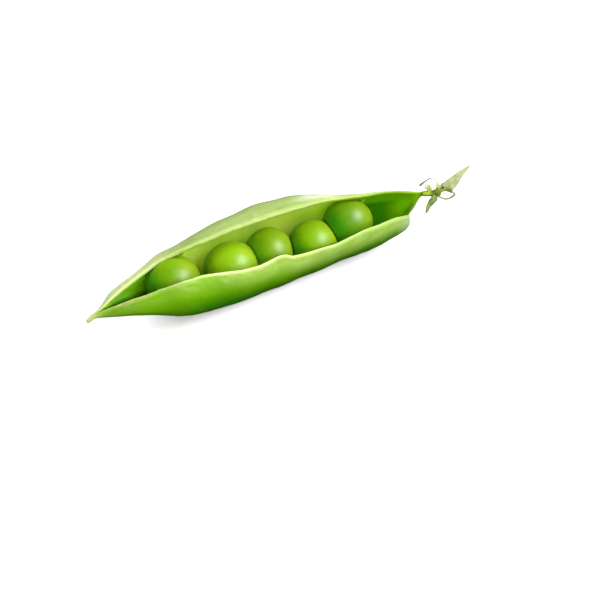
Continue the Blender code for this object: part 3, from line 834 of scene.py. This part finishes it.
stalk_green = seed_stalk_material()
for number, (name, sign, shoulder) in enumerate(SEED_STALKS, 1):
    x, across, out, half_length, half_breadth = PEAS[name]
    seed = across_and_out(x, across, out)
    section = Section(x + shoulder * half_length)
    start = section.solid(*section.point(ROOT_TURN * sign, ROOT_DEPTH))
    way = (start - seed).normalized()
    flat = (way.y ** 2 + way.z ** 2) / half_breadth ** 2
    surface = 1 / math.sqrt(way.x ** 2 / half_length ** 2 + flat)
    end = seed + way * (surface - SUNK)
    middle = (start + end) / 2 + section.mouth * STALK_BOW
    stalk = stalk_mesh(f"seed_stalk_{number}", [start, middle, end], STALK_WIDTHS, STALK_STEPS,
                       STALK_SIDES, crease=STALK_CREASE)
    stalk.data.materials.append(stalk_green)
    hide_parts(f"funicle_{number}")
    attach(stalk, "root")

# ------------------------------------------------------------------------------------------------
# Receptacle
# The small knuckle at the end of the neck that the sepals and stamens grew on. It is the same
# living green tissue as the stalk, ribbed and dull, drying at its edges.

CUP_PATH = ((68.8, 0.1, 0), (70.1, -0.25, 0), (70.9, -0.5, 0), (71.7, -0.72, 0), (72.5, -0.68, 0))
CUP_WIDTHS = ((0, 0.42), (0.12, 0.56), (0.3, 0.58), (0.52, 0.64), (0.72, 0.78), (0.86, 0.74), (1, 0.42))
CUP_STEPS, CUP_SIDES, CUP_RIBS, CUP_CREASE = 60, 48, 5, 0.16
# The receptacle's start colour is brighter as painted light, making up for the shade under it.
CUP_DARK, CUP_LIGHT, CUP_PAINTED_LIGHT = fresh(70, 90, 6), fresh(104, 124, 26), fresh(146, 172, 44)


def stem_material(name, dark, light, start):
    """Dull living green of the stalk, streaked lengthwise, blotched brown, with a given colour where it
    starts: on the receptacle a brighter one, painted light.
    """
    made = Recipe(name, 0.6, Subsurface_Weight=0.2, Subsurface_Scale=0.4 * MM,
                  Subsurface_Radius=(0.8, 1.0, 0.2), Specular_IOR_Level=0.3)
    grain = made.noise(1.0, 4.0, 0.6, made.place((0.5, 1.8, 1.8)))
    blots = made.noise(1.7, 3.0, 0.6)
    colour = made.blend(made.range_of(grain, 0.3, 0.7), dark, light)
    colour = made.blend(made.range_of(blots, 0.55, 0.75, 0.0, 0.6), colour, fresh(112, 104, 36))
    # A given colour where the stalk starts; on the receptacle this is painted light.
    colour = made.blend(made.range_of(made.known("along"), 0.42, 0.2, 0.0, 0.8), colour, start)
    return made.wire(colour, made.range_of(grain, 0.2, 0.8, 0.5, 0.72), made.bump(grain, 0.08, 0.7))


cup = stalk_mesh("receptacle", [across_and_out(*point) for point in CUP_PATH], CUP_WIDTHS,
                 CUP_STEPS, CUP_SIDES, CUP_RIBS, CUP_CREASE)
cup.data.materials.append(stem_material("receptacle_green", CUP_DARK, CUP_LIGHT, CUP_PAINTED_LIGHT))
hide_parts("calyx_cup")
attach(cup, "root")

# ------------------------------------------------------------------------------------------------
# Flower stalk
# The short end of the stalk that the pod hung by. It was pinched off when the pod was picked, so
# its end is blunt, fibrous and a little swollen.

PICKED_PATH = ((72.2, -0.62, 0), (73.4, -0.72, -0.05), (74.1, -1.05, -0.05), (74.85, -1.55, -0.05))
PICKED_WIDTHS = ((0, 0.34), (0.3, 0.27), (0.7, 0.26), (0.92, 0.36), (1, 0.26))
PICKED_STEPS, PICKED_SIDES, PICKED_RIBS, PICKED_CREASE = 50, 36, 6, 0.14
PICKED_DARK, PICKED_LIGHT, PICKED_START = fresh(90, 108, 20), fresh(128, 144, 50), fresh(110, 128, 36)

picked = stalk_mesh("picked_stalk", [across_and_out(*point) for point in PICKED_PATH], PICKED_WIDTHS,
                    PICKED_STEPS, PICKED_SIDES, PICKED_RIBS, PICKED_CREASE)
picked.data.materials.append(stem_material("picked_stalk_green", PICKED_DARK, PICKED_LIGHT, PICKED_START))
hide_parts("pedicel")
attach(picked, "root")

# ------------------------------------------------------------------------------------------------
# Sepals
# Five small leaves that once wrapped the flower. They have dried thin and papery, pale between
# darker veins and edges, and each has folded or curled its own way.

# The path of each midrib, then its half width by share of the way
SEPALS = {
    "sepal_long": (((73.6, -0.75, 0.2), (74.2, -0.25, 0.8), (75.7, 0.38, 1.0), (77.3, 1.2, 1.1),
                    (78.7, 1.67, 1.0), (80.3, 2.3, 0.85)),
                   ((0, 0.16), (0.1, 0.8), (0.17, 1.12), (0.36, 1.02), (0.58, 0.66), (0.78, 0.4), (1, 0.06))),
    "sepal_droop": (((70.95, -1.05, 0.3), (70.3, -1.65, 0.6), (69.5, -2.05, 0.75), (68.6, -2.75, 0.7),
                     (67.85, -3.8, 0.4)),
                    ((0, 0.34), (0.2, 0.66), (0.4, 0.66), (0.65, 0.48), (0.88, 0.3), (1, 0.1))),
    "sepal_curl_1": (((70.4, -0.1, 0.3), (70.25, 0.4, 0.5), (69.95, 0.8, 0.8), (69.6, 0.9, 1.1),
                      (69.25, 0.8, 1.4)),
                     ((0, 0.4), (0.3, 0.58), (0.6, 0.72), (0.85, 0.6), (1, 0.25))),
    "sepal_curl_2": (((71.8, -0.4, 0.5), (71.85, 0.05, 0.75), (71.85, 0.25, 1.0), (71.65, 0.3, 1.35),
                      (71.35, 0.2, 1.6)),
                     ((0, 0.5), (0.3, 0.6), (0.6, 0.66), (0.85, 0.5), (1, 0.2))),
    "sepal_under": (((72.1, -0.5, -0.25), (73.45, 0.1, -0.75), (74.8, 0.35, -1.0), (76.3, 0.85, -1.1),
                     (77.8, 1.35, -1.0)),
                    ((0, 0.2), (0.4, 0.6), (0.7, 0.42), (1, 0.08))),
}
FOLDS = {"sepal_long": 0.12, "sepal_droop": 0.75, "sepal_curl_1": 0.3, "sepal_curl_2": 0.3,
         "sepal_under": 0.2}
SEPAL_THICK, MIDRIB = 0.11, 0.06
EDGE_WAVE, CRUMPLE, EDGE_UNEVEN = 0.3, 0.1, 0.12
LOBE, LOBE_AT, LOBE_SPREAD = 0.35, 0.13, 0.035
SEPAL_STEPS, SEPAL_SIDES = 80, 44
OUTWARD = across_and_out(0, 0, 1) - across_and_out(0, 0, 0)


def sepal_mesh(name, points, widths, fold, facing):
    """A thin pointed leaf with a raised midrib, wavy edges and a folded middle."""
    path = curve_through(points, SEPAL_STEPS)
    own = len(name) * 1.7 + len(points)
    rings, sideways_notes, along_notes = [], [], []
    for i, point in enumerate(path):
        share = i / (SEPAL_STEPS - 1)
        along = (path[min(i + 1, SEPAL_STEPS - 1)] - path[max(i - 1, 0)]).normalized()
        breadth = along.cross(facing).normalized()
        normal = breadth.cross(along).normalized()
        half = smooth_value(widths, share)
        ring = []
        for j in reversed(range(SEPAL_SIDES)):
            angle = 2 * math.pi * j / SEPAL_SIDES
            sideways = math.cos(angle)
            wave = EDGE_WAVE * half * sideways ** 2 * ripple(share * 5.5 + sideways * 1.2, own)
            crumple = CRUMPLE * ripple(share * 6 + own, sideways * 2.2, own)
            uneven = 1 + EDGE_UNEVEN * ripple(share * 9, own + (3.0 if sideways > 0 else 6.0))
            if name == "sepal_long" and sideways < 0:
                uneven += LOBE * math.exp(-((share - LOBE_AT) / LOBE_SPREAD) ** 2)
            rib = MIDRIB * math.exp(-(sideways / 0.12) ** 2) * (1 - 0.6 * share)
            lift = math.sin(angle) * (SEPAL_THICK * (0.35 + 0.65 * abs(math.sin(angle))) + rib)
            lift += fold * half * abs(sideways) ** 1.5 + (wave + crumple) * ease(0.0, 0.2, share)
            ring.append(lie(point + breadth * half * sideways * uneven + normal * lift))
            sideways_notes.append(sideways)
            along_notes.append(share)
        rings.append(ring)
    piece = mesh_of_rings(name + "_leaf", rings)
    note(piece, "sideways", sideways_notes)
    note(piece, "along", along_notes)
    return piece


def sepal_material(name, dark, light, edge_strength):
    """Dried papery leaf: pale olive, darker along its midrib, side veins and edges."""
    made = Recipe(name, 0.66, Subsurface_Weight=0.2, Subsurface_Scale=0.4 * MM,
                  Subsurface_Radius=(0.9, 1.0, 0.4), Specular_IOR_Level=0.2)
    sideways, along = made.known("sideways"), made.known("along")
    away = made.size_of(sideways)
    blots = made.noise(0.9, 4.0, 0.6)
    fine = made.noise(3.0, 3.0, 0.6)
    colour = made.blend(made.range_of(blots, 0.3, 0.7), dark, light)
    slant = made.less(made.times(along, 9.0), made.times(away, 1.6))
    saw = made.less(made.part_of(slant), 0.5)
    vein = made.range_of(made.size_of(saw), 0.0, 0.14, 0.25, 0.0)
    colour = made.blend(vein, colour, fresh(118, 130, 64))
    colour = made.blend(made.range_of(away, 0.05, 0.14, 0.4, 0.0), colour, fresh(122, 134, 62))
    side = made.range_of(away, 0.9 - 0.45 * edge_strength, 1.0, 0.0, 0.5 + 0.4 * edge_strength)
    colour = made.blend(side, colour, fresh(64, 76, 30))
    tip = made.range_of(along, 0.86, 1.0, 0.0, 0.25 + 0.6 * edge_strength)
    colour = made.blend(tip, colour, fresh(86, 92, 62))
    base = made.range_of(along, 0.14, 0.03, 0.0, 0.5)
    colour = made.blend(base, colour, fresh(150, 164, 90))
    smudge = made.times(made.range_of(away, 0.45, 0.1), made.range_of(along, 0.42, 0.2))
    colour = made.blend(made.times(smudge, 0.2), colour, fresh(116, 130, 70))
    relief = made.bump(vein, 0.05, 0.5)
    relief = made.bump(fine, 0.04, 0.6, relief)
    return made.wire(colour, made.range_of(fine, 0.2, 0.8, 0.55, 0.78), relief)


papery = sepal_material("dried_sepal", fresh(134, 144, 94), fresh(166, 172, 130), 0.25)
folded = sepal_material("folded_sepal", fresh(88, 100, 50), fresh(126, 138, 86), 1.0)
crumpled = sepal_material("crumpled_sepal", fresh(130, 144, 76), fresh(174, 182, 122), 0.3)
finishes = {"sepal_droop": folded, "sepal_curl_1": crumpled, "sepal_curl_2": crumpled}
for name, (points, widths) in SEPALS.items():
    facing = -OUTWARD if name == "sepal_under" else OUTWARD
    leaf = sepal_mesh(name, [across_and_out(*point) for point in points], widths, FOLDS[name], facing)
    leaf.data.materials.append(finishes.get(name, papery))
    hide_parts(name)
    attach(leaf, "root")

# ------------------------------------------------------------------------------------------------
# Withered threads
# What is left of the stamens: hair-thin dry threads that bent over as the flower faded. They are
# grey-brown and kinked, and one still ends in its shrunken anther.

THREAD_STEPS, THREAD_SIDES, THREAD_CREASE = 90, 16, 0.3
THREADS = {
    "stamen_arc": (((72.2, -0.35, -0.1), (72.6, 1.2, -0.1), (72.2, 2.1, 0.0), (71.3, 2.42, 0.0),
                    (70.4, 2.2, 0.0), (69.5, 1.98, 0.0), (68.8, 1.65, 0.0)),
                   ((0, 0.1), (0.3, 0.08), (0.5, 0.14), (0.75, 0.18), (0.93, 0.26), (1, 0.12))),
    "stamen_loop": (((71.5, -1.35, 0.2), (72.5, -2.25, 0.4), (73.25, -2.52, 0.4), (74.25, -2.45, 0.4),
                     (75.0, -2.1, 0.2), (74.9, -1.65, 0.0)),
                    ((0, 0.2), (0.3, 0.19), (0.7, 0.22), (1, 0.14))),
}


def thread_material():
    """Dry grey-brown fibre, greener near its root."""
    made = Recipe("withered_thread", 0.75, Specular_IOR_Level=0.2)
    grain = made.noise(2.2, 4.0, 0.6)
    colour = made.blend(made.range_of(grain, 0.3, 0.7), fresh(84, 90, 72), fresh(122, 128, 104))
    colour = made.blend(made.range_of(made.known("along"), 0.1, 0.5, 0.8, 0.0), colour, fresh(150, 160, 104))
    return made.wire(colour, made.range_of(grain, 0.2, 0.8, 0.6, 0.85), made.bump(grain, 0.05, 0.8))


withered = thread_material()
for name, (points, widths) in THREADS.items():
    thread = stalk_mesh(name + "_thread", [across_and_out(*point) for point in points], widths,
                        THREAD_STEPS, THREAD_SIDES, crease=THREAD_CREASE)
    thread.data.materials.append(withered)
    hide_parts(name)
    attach(thread, "root")

# ------------------------------------------------------------------------------------------------
# Camera, floor and light
# The pod lies on a plain pale floor, seen from above its near side. A soft key lamp shines from the
# stem end, and two broad lamps fill in from behind and from in front.

CAMERA_TURN, CAMERA_RISE, CAMERA_DISTANCE = math.radians(-25.4), math.radians(52), 0.3167
TIP_PLACE = Vector((SHIFT.x * MM, SHIFT.y * MM, 0))
AIM = TIP_PLACE + Vector((38.4, -8.5, 0)) * MM
BACK = Vector((math.sin(CAMERA_TURN) * math.cos(CAMERA_RISE),
               -math.cos(CAMERA_TURN) * math.cos(CAMERA_RISE),
               math.sin(CAMERA_RISE)))

lens = bpy.data.cameras.new("camera")
lens.lens = 100
lens.sensor_width = 36
lens.clip_start = 0.01
camera = bpy.data.objects.new("camera", lens)
bpy.context.collection.objects.link(camera)
camera.location = AIM + BACK * CAMERA_DISTANCE
camera.rotation_euler = BACK.to_track_quat("Z", "Y").to_euler()
bpy.context.scene.camera = camera
bpy.context.scene.view_settings.view_transform = "Standard"

FLOOR_HALF = 1.5
corners = [(x * FLOOR_HALF, y * FLOOR_HALF, 0) for x, y in ((-1, -1), (1, -1), (1, 1), (-1, 1))]
floor_mesh = bpy.data.meshes.new("floor")
floor_mesh.from_pydata(corners, [], [(0, 1, 2, 3)])
floor = bpy.data.objects.new("floor", floor_mesh)
bpy.context.collection.objects.link(floor)
paper = Recipe("floor_paper", 0.9, Specular_IOR_Level=0.0)
paper.shader.inputs["Base Color"].default_value = (0.92, 0.92, 0.92, 1)
floor.data.materials.append(paper.material)
floor.visible_diffuse = False
floor.visible_glossy = False

world = bpy.data.worlds.new("studio")
bpy.context.scene.world = world
world.use_nodes = True
tree = world.node_tree
way = tree.nodes.new("ShaderNodeTexCoord").outputs["Generated"]
height = tree.nodes.new("ShaderNodeSeparateXYZ")
tree.links.new(way, height.inputs[0])
sky = tree.nodes.new("ShaderNodeMapRange")
for slot, value in (("From Min", -0.25), ("From Max", 0.5), ("To Min", 0.04), ("To Max", 0.2)):
    sky.inputs[slot].default_value = value
tree.links.new(height.outputs["Z"], sky.inputs[0])
tree.nodes["Background"].inputs["Color"].default_value = (1, 1, 1, 1)
tree.links.new(sky.outputs[0], tree.nodes["Background"].inputs["Strength"])
world.cycles_visibility.glossy = False


def softbox(name, way, distance, size, power, mirrored=True):
    """A square lamp, aimed at the pod from this direction."""
    lamp = bpy.data.lights.new(name, "AREA")
    lamp.size = size
    lamp.energy = power
    held = bpy.data.objects.new(name, lamp)
    bpy.context.collection.objects.link(held)
    way = Vector(way).normalized()
    held.location = way * distance
    held.rotation_euler = way.to_track_quat("Z", "Y").to_euler()
    held.visible_glossy = mirrored


softbox("key", (0.61, -0.29, 0.73), 0.6, 0.32, 4.0)
softbox("top_back", (0.0, 0.8, 0.6), 0.7, 0.5, 6.2, mirrored=False)
softbox("front_fill", (0.0, -0.75, 0.66), 0.8, 0.6, 6.6, mirrored=False)
